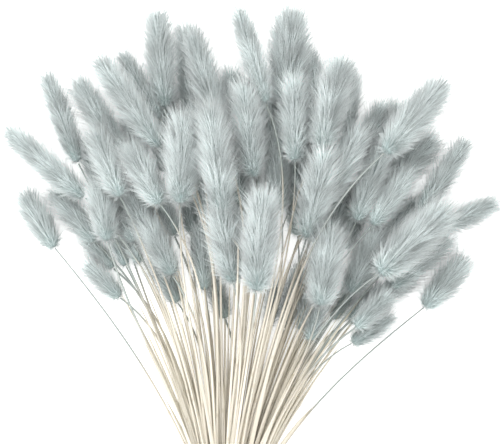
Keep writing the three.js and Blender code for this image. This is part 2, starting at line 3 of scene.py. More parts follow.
import bpy
import numpy as np
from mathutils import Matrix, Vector


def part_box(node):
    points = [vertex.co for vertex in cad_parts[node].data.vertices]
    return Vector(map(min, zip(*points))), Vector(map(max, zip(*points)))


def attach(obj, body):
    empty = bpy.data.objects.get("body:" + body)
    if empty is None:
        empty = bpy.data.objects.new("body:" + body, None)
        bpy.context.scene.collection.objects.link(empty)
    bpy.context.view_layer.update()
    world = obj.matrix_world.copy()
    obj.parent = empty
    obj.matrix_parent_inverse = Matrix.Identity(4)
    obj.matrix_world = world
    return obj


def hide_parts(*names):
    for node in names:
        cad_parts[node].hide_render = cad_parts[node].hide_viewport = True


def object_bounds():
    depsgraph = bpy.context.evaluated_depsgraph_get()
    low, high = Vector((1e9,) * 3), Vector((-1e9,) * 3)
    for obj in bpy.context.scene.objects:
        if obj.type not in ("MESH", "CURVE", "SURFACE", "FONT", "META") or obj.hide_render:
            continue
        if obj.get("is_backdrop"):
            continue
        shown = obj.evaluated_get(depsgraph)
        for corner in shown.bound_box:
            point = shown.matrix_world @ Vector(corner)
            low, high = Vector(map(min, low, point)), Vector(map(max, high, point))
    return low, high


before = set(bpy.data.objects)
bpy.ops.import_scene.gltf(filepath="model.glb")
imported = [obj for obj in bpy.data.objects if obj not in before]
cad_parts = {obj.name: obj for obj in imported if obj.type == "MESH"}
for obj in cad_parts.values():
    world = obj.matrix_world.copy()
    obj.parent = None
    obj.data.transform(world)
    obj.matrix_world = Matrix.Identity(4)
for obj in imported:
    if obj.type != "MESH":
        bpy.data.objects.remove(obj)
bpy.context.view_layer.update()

# SEED HEADS, WHERE THEY LIE
# Each is one dense spike of a hare's-tail grass: an oval as long as a thumb, dyed a soft blue-grey.
# They lie in a loose pile, the lowest on the floor and the others on those below them. Nothing fixes them but
# their own stems. Sizes are in millimetres from the middle of the tie, as tip x, tip y, base x, base y, width
# and layer, where 3 is the top of the pile.
SEEN_HEADS = [
    (-155.5, 288, -99.5, 239.5, 20, 2),
    (-127, 327.5, -104, 264, 18, 2),
    (-105.5, 322, -74, 271, 21, 2),
    (-90, 337.5, -46, 274, 21, 3),
    (-74, 341, -47, 295, 16, 2),
    (-49.5, 371, -43, 302, 22, 2),
    (-29.5, 361.5, -21, 287, 23, 1),
    (-25, 357, -0.5, 273, 21, 2),
    (8, 372, 28, 305, 18, 3),
    (45.5, 370.5, 42.5, 305, 33, 2),
    (59, 344, 64, 280, 19, 1),
    (47, 323, 48, 265, 22, 3),
    (12, 321, 19, 253, 22, 3),
    (81, 336.5, 66, 274, 25, 3),
    (89, 329, 84, 283, 16, 1),
    (110.5, 305, 91, 266, 19, 2),
    (121, 306, 106, 273, 16, 1),
    (152, 320, 110, 270.5, 26, 3),
    (169.5, 280.5, 135, 229, 18, 2),
    (190, 236, 151, 218.5, 18, 1),
    (168.5, 195.5, 139.5, 163, 22, 1),
    (116, 157, 89, 138, 17, 1),
    (-143, 242, -121, 204.5, 21, 1),
    (-99, 193.5, -76.5, 171, 17, 1),
    (-122, 245, -92.5, 208.5, 20, 1),
    (-91, 286, -74, 240, 22, 3),
    (-91, 252, -83, 209, 21, 2),
    (-79, 244, -65, 208, 18, 1),
    (-69, 276, -46, 235, 23, 3),
    (-69, 249, -54, 207, 20, 2),
    (-100, 212, -80, 190, 14, 0),
    (-80, 216, -71, 192, 13, 0),
    (-70, 216, -62, 195, 12, 0),
    (-56, 223, -41, 192, 21, 2),
    (-50, 196, -35.5, 168, 17, 1),
    (-30, 297, -32, 235, 27, 3),
    (-20, 273, -14, 226, 18, 1),
    (-48, 245, -37, 214, 17, 1),
    (-26, 245, -25, 216, 15, 0),
    (-12, 305, -2, 227, 24, 3),
    (0, 294, 9, 235, 17, 1),
    (-5, 232, 5, 180, 24, 3),
    (26, 244, 21, 174, 28, 3),
    (32, 295, 38, 230, 21, 2),
    (70, 273, 56, 211, 25, 3),
    (73, 217, 66, 168, 27, 3),
    (52, 193, 41, 147, 14, 0),
    (57, 172, 52, 146, 12, 0),
    (35, 179, 29, 148, 12, 0),
    (66, 168, 60, 146, 15, 0),
    (-10, 185, -2, 158, 16, 0),
    (-20, 222, -15, 174, 16, 0),
    (108, 218, 88, 176, 25, 2),
    (155, 232.5, 106, 186, 30, 3),
    (158, 212, 115, 176, 19, 1),
    (132, 185, 107, 168, 18, 0),
    (115, 172, 95, 153, 17, 1),
    (91, 179, 81, 164, 15, 0),
    (108, 176, 91, 157, 16, 0),
    (129, 259, 102, 220, 20, 2),
    (146, 281.5, 112, 247, 25, 1),
    (110, 277, 91, 223, 22, 2),
    (94, 287, 69, 238, 24, 2),
    (87, 249, 71, 213, 18, 1),
    (97, 245, 83, 203, 18, 1),
    (19, 262, 18, 214, 20, 0),
    (47, 246, 50, 213, 16, 1),
    (4, 329, 1, 285, 20, 1),
    (-42, 318, -44, 257, 22, 0),
    (32, 326, 30, 276, 24, 0),
    (60, 290, 48, 242, 22, 0),
    (134, 238, 108, 204, 18, 1),
    (-99, 281, -89, 243, 15, 1),
]

# Heads on the far side of the bunch, in rows across the fan: how far from the tie, how many, and their first
# and last angle
BACK_ROWS = [(236, 3, -14, 18), (288, 5, -13, 23)]
BACK_HEAD_LENGTH = 46
BACK_HEAD_WIDTH = 20

# A head is a blunt oval, widest below its middle, and at least this many widths long
WIDEST_LOW = 0.85
BLUNTNESS = 0.5
LENGTH_PER_WIDTH = 2

# The pile's waist lies in its twine, and each layer rises by its own share on the way out from there
WAIST_RADIUS = 10.5
TIE_CLEARANCE = 0.5
TWINE_RADIUS = 1.3
TURN_CORNER = 0.6
WAIST_HEIGHT = WAIST_RADIUS + TIE_CLEARANCE + TWINE_RADIUS * (1 + math.cos(TURN_CORNER))
LAYER_RISE = (0, -0.02, 0.07, 0.14)
EDGE_DROP = 0.6
HALF_FAN_WIDTH = 185

# How heads can slope, and how they press on the floor and on each other
HEAD_SLOPES = (-0.3, -0.2, -0.1, 0, 0.1, 0.2, 0.3)
HEIGHT_PER_SLOPE = 20
NEIGHBOUR_GAP = 0.5
FLOOR_PRESS = 3
PRESSED_TOGETHER = 6.5
PRESSED_AT_LEAST = 3.8
MOST_IN_A_NODE = 4
MOST_HEAD_NODES = 58
STATIONS = np.array([0.04, 0.13, 0.23, 0.34, 0.46, 0.58, 0.7, 0.82, 0.93])


def head_radius(width, t):
    """The radius of a head at t along it, from 0 at its base to 1 at its tip."""
    round_off = np.sin(math.pi * np.clip(t, 0, 1) ** WIDEST_LOW)
    return width / 2 * np.maximum(round_off, 0) ** BLUNTNESS


class SeedHead:
    """One head: its ends and size as seen from above and, once it has settled, its height and slope."""

    def __init__(self, number, tip_x, tip_y, base_x, base_y, width, layer):
        tip = np.array([tip_x, tip_y], float)
        back = np.array([base_x, base_y], float) - tip
        seen = float(np.hypot(*back))
        self.number, self.width, self.layer = number, width, layer
        self.length = max(seen, LENGTH_PER_WIDTH * width)
        self.tip = tip
        self.base = tip + back / seen * self.length
        self.places = self.base + STATIONS[:, None] * (self.tip - self.base)
        self.radii = head_radius(width, STATIONS)
        self.mates = [self]

    def lay(self, height, slope):
        half = slope * self.length / 2
        self.heights = height + slope * (STATIONS - 0.5) * self.length
        self.start = np.array([*self.base, height - half])
        self.end = np.array([*self.tip, height + half])
        self.axis = (self.end - self.start) / np.linalg.norm(self.end - self.start)


def rest_height(head, slope, placed, pressed):
    """The lowest that the middle of a head can lie at a slope, and the head that carries it there."""
    height, carrier = -math.inf, None
    if placed:
        under = np.concatenate([other.places for other in placed])
        under_radii = np.concatenate([other.radii for other in placed])
        under_heights = np.concatenate([other.heights for other in placed])
        gives = [PRESSED_TOGETHER if other is pressed else -NEIGHBOUR_GAP for other in placed]
        give = np.repeat(gives, len(STATIONS))
    for t, spot, radius in zip(STATIONS, head.places, head.radii):
        lift = slope * (t - 0.5) * head.length
        height = max(height, radius - FLOOR_PRESS - lift)
        if placed:
            reach = radius + under_radii - give
            apart = np.hypot(*(under - spot).T)
            meets = apart < reach
            climb = np.sqrt(np.where(meets, reach**2 - apart**2, 0))
            needed = np.where(meets, under_heights + climb - lift, -math.inf)
            highest = int(needed.argmax())
            if needed[highest] > height:
                height, carrier = needed[highest], placed[highest // len(STATIONS)]
    return height, carrier


def best_lie(head, placed, pressed=None):
    """The height and slope at which a head lies best for its layer, and what carries it there."""
    middle = (head.base + head.tip) / 2
    rise = LAYER_RISE[head.layer] * (1 - EDGE_DROP * (middle[0] / HALF_FAN_WIDTH) ** 2)
    wanted = 0 if head.layer == 0 else WAIST_HEIGHT + rise * np.hypot(*middle)
    best = None
    for slope in HEAD_SLOPES:
        rest, carrier = rest_height(head, slope, placed, pressed)
        height = max(rest, wanted)
        cost = height + HEIGHT_PER_SLOPE * abs(slope - rise)
        if best is None or cost < best[0]:
            best = (cost, height, slope, carrier if rest >= wanted else None)
    return best[1:]


def pressed_depth(head, other):
    """How far two heads press into each other."""
    across = np.hypot(*(head.places[:, None] - other.places[None]).transpose(2, 0, 1))
    apart = np.hypot(across, head.heights[:, None] - other.heights[None])
    return (head.radii[:, None] + other.radii[None] - apart).max()


rows = list(SEEN_HEADS)
for distance, count, first_turn, last_turn in BACK_ROWS:
    for i in range(count):
        turn = math.radians(first_turn + (last_turn - first_turn) * i / (count - 1))
        near, far = distance - BACK_HEAD_LENGTH / 2, distance + BACK_HEAD_LENGTH / 2
        ends = (far * math.sin(turn), far * math.cos(turn), near * math.sin(turn), near * math.cos(turn))
        rows.append((*ends, BACK_HEAD_WIDTH, 0))
heads = [SeedHead(index + 1, *row) for index, row in enumerate(rows)]

# The pile settles from the lowest layer up. Some heads are pressed into the one that carries them.
pairs_left = len(heads) - MOST_HEAD_NODES
placed = []
for head in sorted(heads, key=lambda one: (one.layer, one.number)):
    height, slope, carrier = best_lie(head, placed)
    head.lay(height, slope)
    if pairs_left > 0 and carrier and len(carrier.mates) < MOST_IN_A_NODE:
        closer_height, closer_slope, _ = best_lie(head, placed, carrier)
        head.lay(closer_height, closer_slope)
        if pressed_depth(head, carrier) >= PRESSED_AT_LEAST:
            carrier.mates.append(head)
            head.mates = carrier.mates
            pairs_left -= 1
        else:
            head.lay(height, slope)
    placed.append(head)

# The tie's middle is the pile's own zero, and the model stands it off the origin
MM = 0.001
tie_low, tie_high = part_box("tie")
TIE_MIDDLE = np.array([(tie_low.x + tie_high.x) / 2, (tie_low.y + tie_high.y) / 2, 0])


def in_metres(points):
    return np.asarray(points, float) * MM + TIE_MIDDLE


# SEED HEADS, THEIR COAT
# The spike's florets make a close core, painted dark as the shade deep in the coat, and each floret carries a
# fine awn and silky hairs that lean to the tip. Together they make a soft coat, a few millimetres deep, with
# painted shade at its roots and painted light that makes its thin, backlit rim nearly white. Grown in one
# with the core.

# The core, as a share of the head's width and length. It is fuller and flatter at its base.
CORE_SHARE = 0.5
CORE_SHARE_AT_BASE = 0.88
BASE_SHARE = 0.5
CORE_FROM, CORE_TO = 0.01, 0.95
CORE_BLUNTNESS = ([0, 0.5], [0.52, 0.33])
CORE_RINGS, CORE_SIDES = 18, 16
CORE_RELIEF = 0.03
RELIEF_LOBES = 3
RELIEF_TWIST = 1.7
STREAKS_AROUND = 7
STREAKS_PER_MM = 0.16

# The hairs, thicker than real awns so that they show. They lift from the core by degrees, and their reach,
# flare and painted highlight change from the head's base, at 0, to its tip, at 1.
HAIRS_PER_MM2 = (1.3, 1.6, 1.8, 1.9)
HAIR_LENGTHS_MM = (6.5, 18.5)
HAIR_LENGTH_SKEW = 1.5
HAIR_RADIUS_MM = 0.11
SLIMMEST_HAIR = 0.8
HAIR_LIFTS = (7, 46)
MOST_LIFT = 75
HAIR_STRAY = 0.2
TUFT_SIZE_MM = 5.0
TUFT_LEAN = 0.15
HAIR_REACH = ([0, 0.12, 0.35, 0.8, 1], [0.3, 0.5, 1, 1, 0.85])
HAIR_FLARE = ([0, 0.08, 0.25, 0.8, 1], [42, 20, 5, 4, 10])
BROAD_FROM = 18.5
MOST_BROAD = 1.3
ABOVE_FLOOR_MM = 0.15

# How far each hair is shaded as the core under it is, how much light passes through, and the coat's tones
VELVET = 0.65
HAIR_THROUGH = 0.25
HAIR_TONES = (0.78, 1.24)
BLOTCH_SIZE_MM = 11.0
BLOTCH_TONES = (0.75, 1.22)
# Painted highlight: the coat is paler at the head's base and tip
PAINTED_HIGHLIGHT_ALONG = ([0, 0.12, 0.35, 0.8, 1], [1.13, 1.08, 0.98, 1, 1.06])
# Painted shade: heads lower in the pile are darker, those on top paler
PAINTED_SHADE_BY_LAYER = (0.98, 0.99, 1.03, 1.06)
HEAD_SHADE_SPREAD = 0.07
# The hairs' colour has painted shade at the root, deep in the coat, and painted light of the backlit rim at
# the tip
ROOT_DYE_AND_SHADE = "#abb7b6"
COAT_DYE = "#e1ebea"
TIP_DYE_AND_RIM_LIGHT = "#f2f9f8"
# The core's colours are painted dark for the shade deep in the coat
CORE_DYE_IN_SHADE = "#899998"
CORE_DARK_IN_SHADE = "#637372"
CORE_PALE_IN_SHADE = "#abb9b8"


def linear(hex_colour):
    """An sRGB hex colour as the linear RGBA that shaders use."""
    parts = [int(hex_colour[i : i + 2], 16) / 255 for i in (1, 3, 5)]
    return (*[p / 12.92 if p <= 0.04045 else ((p + 0.055) / 1.055) ** 2.4 for p in parts], 1)


def add(tree, kind, inputs=None, **settings):
    """Adds one node. An input takes a value, or a link from a socket or from the first socket of a node."""
    node = tree.nodes.new(kind)
    for name, value in settings.items():
        setattr(node, name, value)
    for key, value in (inputs or {}).items():
        if isinstance(value, bpy.types.Node):
            value = value.outputs[0]
        if isinstance(value, bpy.types.NodeSocket):
            tree.links.new(value, node.inputs[key])
        else:
            node.inputs[key].default_value = value
    return node


def new_material(name):
    material = bpy.data.materials.new(name)
    material.use_nodes = True
    material.node_tree.nodes.clear()
    return material, material.node_tree


def graded(tree, factor, stops):
    """A colour that runs through stops of (place, hex colour) as the factor goes from 0 to 1."""
    ramp = add(tree, "ShaderNodeValToRGB", {"Fac": factor})
    while len(ramp.color_ramp.elements) < len(stops):
        ramp.color_ramp.elements.new(0.5)
    for element, (place, colour) in zip(ramp.color_ramp.elements, stops):
        element.position = place
        element.color = linear(colour)
    return ramp.outputs["Color"]


def toned(tree, colour, tone):
    """A colour made darker or lighter by a tone round 1."""
    return add(tree, "ShaderNodeVectorMath", {0: colour, "Scale": tone}, operation="SCALE")


# Dyed awns: hollow silky hairs that scatter light, so a thin layer of them glows and a thick one goes dark
awns, tree = new_material("Dyed_silky_awns_painted_shade")
to_tip, tone = [
    add(tree, "ShaderNodeAttribute", attribute_name=name).outputs["Fac"] for name in ("to_tip", "tone")
]
# The dye runs from painted shade at the root to painted rim light at the tip
dye = graded(tree, to_tip, [(0.0, ROOT_DYE_AND_SHADE), (0.45, COAT_DYE), (1.0, TIP_DYE_AND_RIM_LIGHT)])
dyed = toned(tree, dye, tone)
hair = add(tree, "ShaderNodeBsdfPrincipled", {"Base Color": dyed, "Roughness": 0.7, "Sheen Weight": 0.8})
glow = add(tree, "ShaderNodeBsdfTranslucent", {"Color": dyed})
coat = add(tree, "ShaderNodeMixShader", {"Fac": HAIR_THROUGH, 1: hair, 2: glow})
add(tree, "ShaderNodeOutputMaterial", {"Surface": coat})

# Packed florets: the scaly core between the hairs, painted dark as the shade between tufts, with random
# streaks
florets, tree = new_material("Packed_dyed_florets_in_shade")
lie = add(tree, "ShaderNodeAttribute", attribute_name="lie").outputs["Vector"]
streaks = add(tree, "ShaderNodeTexNoise", {"Vector": lie, "Scale": 1.0, "Detail": 3.0})
floret_dye_in_shade = graded(tree, streaks, [(0.3, CORE_DARK_IN_SHADE), (0.5, CORE_DYE_IN_SHADE), (0.68, CORE_PALE_IN_SHADE)])
shade = add(tree, "ShaderNodeAttribute", attribute_name="tone").outputs["Fac"]
relief = add(tree, "ShaderNodeBump", {"Height": streaks, "Distance": 0.5 * MM, "Strength": 0.7})
floret_dye_in_shade = toned(tree, floret_dye_in_shade, shade)
scaly = add(tree, "ShaderNodeBsdfPrincipled", {"Base Color": floret_dye_in_shade, "Roughness": 0.75, "Normal": relief})
add(tree, "ShaderNodeOutputMaterial", {"Surface": scaly})


SOCKETS = {float: "NodeSocketFloat", int: "NodeSocketInt", bpy.types.Material: "NodeSocketMaterial"}


def geometry_tree(name, values):
    """A Geometry Nodes tree with an input for each named value, and the nodes at its two ends."""
    tree = bpy.data.node_groups.new(name, "GeometryNodeTree")
    for way in ("INPUT", "OUTPUT"):
        tree.interface.new_socket("Geometry", in_out=way, socket_type="NodeSocketGeometry")
    for label, value in values.items():
        tree.interface.new_socket(label, in_out="INPUT", socket_type=SOCKETS[type(value)])
    return tree, add(tree, "NodeGroupInput").outputs, add(tree, "NodeGroupOutput").inputs


def grown(name, source, tree, values):
    """A plain mesh object, made from a source mesh by a Geometry Nodes tree."""
    piece = bpy.data.objects.new(name, source)
    bpy.context.scene.collection.objects.link(piece)
    modifier = piece.modifiers.new("shape", "NODES")
    modifier.node_group = tree
    for socket in tree.interface.items_tree:
        if socket.in_out == "INPUT" and socket.name in values:
            modifier[socket.identifier] = values[socket.name]
    view = bpy.context.evaluated_depsgraph_get()
    result = bpy.data.meshes.new_from_object(piece.evaluated_get(view), depsgraph=view)
    piece.modifiers.clear()
    piece.data = result
    bpy.data.meshes.remove(source)
    return piece


coat_values = {
    "Hairs per m2": 0.0,
    "Shortest hair": HAIR_LENGTHS_MM[0] * MM,
    "Longest hair": HAIR_LENGTHS_MM[1] * MM,
    "Length skew": HAIR_LENGTH_SKEW,
    "Radius": HAIR_RADIUS_MM * MM,
    "Slimmest": SLIMMEST_HAIR,
    "Least lift": math.radians(HAIR_LIFTS[0]),
    "Most lift": math.radians(HAIR_LIFTS[1]),
    "Steepest lift": math.radians(MOST_LIFT),
    "Least tone": HAIR_TONES[0],
    "Most tone": HAIR_TONES[1],
    "Blotches per metre": 1 / (BLOTCH_SIZE_MM * MM),
    "Darkest blotch": BLOTCH_TONES[0],
    "Palest blotch": BLOTCH_TONES[1],
    "Stray": HAIR_STRAY,
    "Tufts per metre": 1 / (TUFT_SIZE_MM * MM),
    "Tuft lean": TUFT_LEAN,
    "Velvet": VELVET,
    "Lowest": ABOVE_FLOOR_MM * MM,
    "Seed": 0,
    "Hair": awns,
    "Core": florets,
}
coat_tree, given, end = geometry_tree("Silky_coat", coat_values)
tree = coat_tree

# One hair is a three-sided spike, with its root at 0 and its tip at 1 up Z
spike = add(
    tree, "GeometryNodeMeshCone", {"Vertices": 3, "Radius Top": 0.0, "Radius Bottom": 1.0, "Depth": 1.0}
)
corner = add(tree, "GeometryNodeInputPosition")
parts = add(tree, "ShaderNodeSeparateXYZ", {0: corner}).outputs
one_hair = add(
    tree, "GeometryNodeStoreNamedAttribute", {"Geometry": spike, "Name": "to_tip", "Value": parts["Z"]}
)

# Hairs lean to the tip. Noise sized as a tuft leans neighbours the same way, so that they part in tufts.
strewn = {"Mesh": given["Geometry"], "Density": given["Hairs per m2"], "Seed": given["Seed"]}
roots = add(tree, "GeometryNodeDistributePointsOnFaces", strewn)
axis, root_faces, faces_out = [
    add(tree, "GeometryNodeInputNamedAttribute", {"Name": name}, data_type="FLOAT_VECTOR")
    for name in ("axis", "root_faces", "faces_out")
]
reach, flare, head_tone_and_painted_light = [
    add(tree, "GeometryNodeInputNamedAttribute", {"Name": name}) for name in ("reach", "flare", "tone")
]
outward = roots.outputs["Normal"]
kept_roots = add(
    tree,
    "GeometryNodeStoreNamedAttribute",
    {"Geometry": roots, "Name": "root_faces", "Value": outward},
    data_type="FLOAT_VECTOR",
)
lined_up = add(tree, "ShaderNodeVectorMath", {0: axis, 1: outward}, operation="DOT_PRODUCT").outputs["Value"]
lined_up = add(tree, "ShaderNodeMath", {0: lined_up, 1: 0.0}, operation="MINIMUM")
off_axis = add(tree, "ShaderNodeVectorMath", {0: outward, "Scale": lined_up}, operation="SCALE")
tipward = add(tree, "ShaderNodeVectorMath", {0: axis, 1: off_axis}, operation="SUBTRACT")
tipward = add(tree, "ShaderNodeVectorMath", {0: tipward}, operation="NORMALIZE")
tufts = add(
    tree, "ShaderNodeTexNoise", {"Vector": corner, "Scale": given["Tufts per metre"], "Detail": 1.0}
).outputs["Color"]
tuft_way = add(tree, "ShaderNodeVectorMath", {0: tufts, 1: (0.5,) * 3}, operation="SUBTRACT")
tuft_way = add(tree, "ShaderNodeVectorMath", {0: tuft_way, "Scale": given["Tuft lean"]}, operation="SCALE")
stray = add(
    tree, "FunctionNodeRandomValue", {0: (-1,) * 3, 1: (1,) * 3, "Seed": 11}, data_type="FLOAT_VECTOR"
)
stray = add(tree, "ShaderNodeVectorMath", {0: stray, "Scale": given["Stray"]}, operation="SCALE")
lean = add(tree, "ShaderNodeVectorMath", {0: tuft_way, 1: stray}, operation="ADD")
combed = add(tree, "ShaderNodeVectorMath", {0: tipward, 1: lean}, operation="ADD")
lift = add(
    tree, "FunctionNodeRandomValue", {2: given["Least lift"], 3: given["Most lift"], "Seed": 12}
).outputs[1]
lift = add(tree, "ShaderNodeMath", {0: lift, 1: flare}, operation="ADD")
lift = add(tree, "ShaderNodeMath", {0: lift, 1: given["Steepest lift"]}, operation="MINIMUM")
rise = add(tree, "ShaderNodeMath", {0: lift}, operation="TANGENT")
lifted = add(tree, "ShaderNodeVectorMath", {0: outward, "Scale": rise}, operation="SCALE")
way = add(tree, "ShaderNodeVectorMath", {0: combed, 1: lifted}, operation="ADD")
turned = add(
    tree,
    "FunctionNodeAxesToRotation",
    {"Primary Axis": way, "Secondary Axis": outward},
    primary_axis="Z",
    secondary_axis="X",
)

# Most hairs are short down, and a few are long awns
chance = add(tree, "FunctionNodeRandomValue", {"Seed": 13}).outputs[1]
skewed = add(tree, "ShaderNodeMath", {0: chance, 1: given["Length skew"]}, operation="POWER")
spread = add(
    tree, "ShaderNodeMath", {0: given["Longest hair"], 1: given["Shortest hair"]}, operation="SUBTRACT"
)
length = add(
    tree, "ShaderNodeMath", {0: skewed, 1: spread, 2: given["Shortest hair"]}, operation="MULTIPLY_ADD"
)
length = add(tree, "ShaderNodeMath", {0: length, 1: reach}, operation="MULTIPLY")
stout = add(tree, "ShaderNodeMath", {0: skewed, 1: given["Slimmest"]}, operation="ADD")
stout = add(tree, "ShaderNodeMath", {0: stout, 1: given["Radius"]}, operation="MULTIPLY")
size = add(tree, "ShaderNodeCombineXYZ", {0: stout, 1: stout, 2: length})
turned_hair = {"Instance": one_hair, "Rotation": turned, "Scale": size}
hairs = add(tree, "GeometryNodeInstanceOnPoints", {"Points": kept_roots, **turned_hair})
one_tone = add(
    tree, "FunctionNodeRandomValue", {2: given["Least tone"], 3: given["Most tone"], "Seed": 14}
).outputs[1]
# A hair's tone carries its head's painted highlight and painted shade, and random spreads
own_tone = add(tree, "ShaderNodeMath", {0: one_tone, 1: head_tone_and_painted_light}, operation="MULTIPLY")
blotches = add(
    tree, "ShaderNodeTexNoise", {"Vector": corner, "Scale": given["Blotches per metre"], "Detail": 2.0}
)
edges = {"Value": blotches, "From Min": 0.35, "From Max": 0.65}
blotch_tones = {"To Min": given["Darkest blotch"], "To Max": given["Palest blotch"]}
blotch = add(tree, "ShaderNodeMapRange", {**edges, **blotch_tones})
own_tone = add(tree, "ShaderNodeMath", {0: own_tone, 1: blotch}, operation="MULTIPLY")
for name, value, kind in (("tone", own_tone, "FLOAT"), ("faces_out", root_faces, "FLOAT_VECTOR")):
    hairs = add(
        tree,
        "GeometryNodeStoreNamedAttribute",
        {"Geometry": hairs, "Name": name, "Value": value},
        data_type=kind,
        domain="INSTANCE",
    )
hairs = add(tree, "GeometryNodeRealizeInstances", {"Geometry": hairs})

# No hair goes into the floor
spot = add(tree, "ShaderNodeSeparateXYZ", {0: corner}).outputs
not_under = add(tree, "ShaderNodeMath", {0: spot["Z"], 1: given["Lowest"]}, operation="MAXIMUM")
kept_up = add(tree, "ShaderNodeCombineXYZ", {0: spot["X"], 1: spot["Y"], 2: not_under})
hairs = add(tree, "GeometryNodeSetPosition", {"Geometry": hairs, "Position": kept_up})

# The core keeps its own faces, and the hairs are shaded partly as the core under them is
core_faces = add(tree, "GeometryNodeInputNormal")
core = given["Geometry"]
for name, value, kind, domain in (
    ("faces_out", core_faces, "FLOAT_VECTOR", "POINT"),
    ("is_core", True, "BOOLEAN", "FACE"),
):
    core = add(
        tree,
        "GeometryNodeStoreNamedAttribute",
        {"Geometry": core, "Name": name, "Value": value},
        data_type=kind,
        domain=domain,
    )
whole = add(tree, "GeometryNodeJoinGeometry")
for part in (hairs, core):
    tree.links.new(part.outputs[0], whole.inputs[0])
smooth = add(tree, "GeometryNodeSetShadeSmooth", {"Geometry": whole})
own_faces = add(tree, "GeometryNodeInputNormal")
shaded = add(
    tree, "ShaderNodeMix", {0: given["Velvet"], 4: own_faces, 5: faces_out}, data_type="VECTOR"
).outputs[1]
shaded = add(tree, "ShaderNodeVectorMath", {0: shaded}, operation="NORMALIZE")
velvet = add(tree, "GeometryNodeSetMeshNormal", {"Mesh": smooth}, mode="FREE", domain="POINT")
tree.links.new(shaded.outputs[0], velvet.inputs["Custom Normal"])
is_core = add(tree, "GeometryNodeInputNamedAttribute", {"Name": "is_core"}, data_type="BOOLEAN")
furry = add(tree, "GeometryNodeSetMaterial", {"Geometry": velvet, "Material": given["Hair"]})
core_alone = {"Geometry": furry, "Selection": is_core, "Material": given["Core"]}
whole = add(tree, "GeometryNodeSetMaterial", core_alone)
tree.links.new(whole.outputs[0], end[0])


def core_surface(head):
    """One head's core: its points and faces, and each point's place along it and among its streaks."""
    side = np.cross([0, 0, 1], head.axis)
    side /= np.linalg.norm(side)
    up = np.cross(head.axis, side)
    long = np.linalg.norm(head.end - head.start)
    rings = (np.arange(CORE_RINGS) + 0.5) / CORE_RINGS
    turns = np.arange(CORE_SIDES) * 2 * math.pi / CORE_SIDES
    places, along, lies = [], [], []
    for i, s in enumerate(rings):
        share = CORE_SHARE + (CORE_SHARE_AT_BASE - CORE_SHARE) * max(1 - s / BASE_SHARE, 0) ** 2
        blunt = np.interp(s, *CORE_BLUNTNESS)
        radius = share * head.width / 2 * math.sin(math.pi * s**WIDEST_LOW) ** blunt
        middle = head.start + head.axis * long * (CORE_FROM + (CORE_TO - CORE_FROM) * s)
        for j, turn in enumerate(turns):
            wave = math.sin(RELIEF_LOBES * turn + RELIEF_TWIST * i + head.number)
            own = radius * (1 + CORE_RELIEF * wave)
            place = middle + own * (side * math.cos(turn) + up * math.sin(turn))
            places.append(place)
            along.append(s)
            round_it = STREAKS_AROUND * math.cos(turn), STREAKS_AROUND * math.sin(turn)
            lies.append((*round_it, s * long * STREAKS_PER_MM))
    for s in (0, 1):
        places.append(head.start + head.axis * long * (CORE_FROM + (CORE_TO - CORE_FROM) * s))
        along.append(s)
        lies.append((0, 0, s * long * STREAKS_PER_MM))
    base, tip = len(places) - 2, len(places) - 1
    faces = []
    for j in range(CORE_SIDES):
        k = (j + 1) % CORE_SIDES
        last = (CORE_RINGS - 1) * CORE_SIDES
        faces += [(base, k, j), (tip, last + j, last + k)]
        for i in range(CORE_RINGS - 1):
            low, high = i * CORE_SIDES, (i + 1) * CORE_SIDES
            faces.append((low + j, low + k, high + k, high + j))
    return places, faces, along, lies


shades = np.random.default_rng(31).uniform(-HEAD_SHADE_SPREAD, HEAD_SHADE_SPREAD, len(heads))
for mates in {id(head.mates): head.mates for head in heads}.values():
    node = "head_" + "_".join(f"{head.number:02d}" for head in mates)
    places, faces, lies, axes, tones, reach, flare = [], [], [], [], [], [], []
    for head in mates:
        own_places, own_faces, own_along, own_lies = core_surface(head)
        lies += own_lies
        faces += [tuple(len(places) + corner for corner in face) for face in own_faces]
        places += own_places
        axes += [head.axis] * len(own_places)
        broad = np.clip(head.width / BROAD_FROM, 1, MOST_BROAD)
        reach += (np.interp(own_along, *HAIR_REACH) * broad).tolist()
        flare += np.radians(np.interp(own_along, *HAIR_FLARE)).tolist()
        # Each head's tone carries painted highlight along it, painted shade by layer and a random spread
        painted_light_and_tones = np.interp(own_along, *PAINTED_HIGHLIGHT_ALONG) * (PAINTED_SHADE_BY_LAYER[head.layer] + shades[head.number - 1])
        tones += painted_light_and_tones.tolist()
    source = bpy.data.meshes.new(node)
    points = in_metres(places)
    points[:, 2] = np.maximum(points[:, 2], ABOVE_FLOOR_MM * MM)
    source.from_pydata(points.tolist(), [], faces)
    for name, values in {"reach": reach, "flare": flare, "tone": tones}.items():
        source.attributes.new(name, "FLOAT", "POINT").data.foreach_set("value", values)
    for name, values in {"axis": axes, "lie": lies}.items():
        source.attributes.new(name, "FLOAT_VECTOR", "POINT").data.foreach_set("vector", np.ravel(values))
    own_values = {"Hairs per m2": HAIRS_PER_MM2[mates[-1].layer] / MM**2, "Seed": mates[0].number}
    piece = grown(f"seed_{node}", source, coat_tree, {**coat_values, **own_values})
    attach(piece, "root")
    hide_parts(node)

# STEMS
# Each is one thin hollow culm of dry straw that carries a head, dyed grey near it and plain cream lower down.
# They run together at the waist, pass under the twine side by side, and are cut off square below it.
# Their lines, and those of the broad leaf blades between them, are the ones of the solids.
STEM_RADIUS = 0.85
WAIST_RIM = 0.4
WAIST_COLUMNS = 9
STEM_ROOT = 4
BASE_GAP = 0.35
STEM_POINTS = 22
STEM_FIXED_AT_WAIST = 3
STEM_FIXED_AT_HEAD = 2
STEM_GATHERED = 0.45
STEM_SWEEP = 1.4
STEM_REACH_AT_WAIST = 0.4
STEM_REACH_AT_HEAD = 0.3

# How the lines are bent clear of the heads
BENDING_ROUNDS = 135
CLEARING_ROUNDS = 15
STEM_SMOOTHING = 0.3
PUSH_SHARE = 0.5
SAME_PLACE = 1e-4

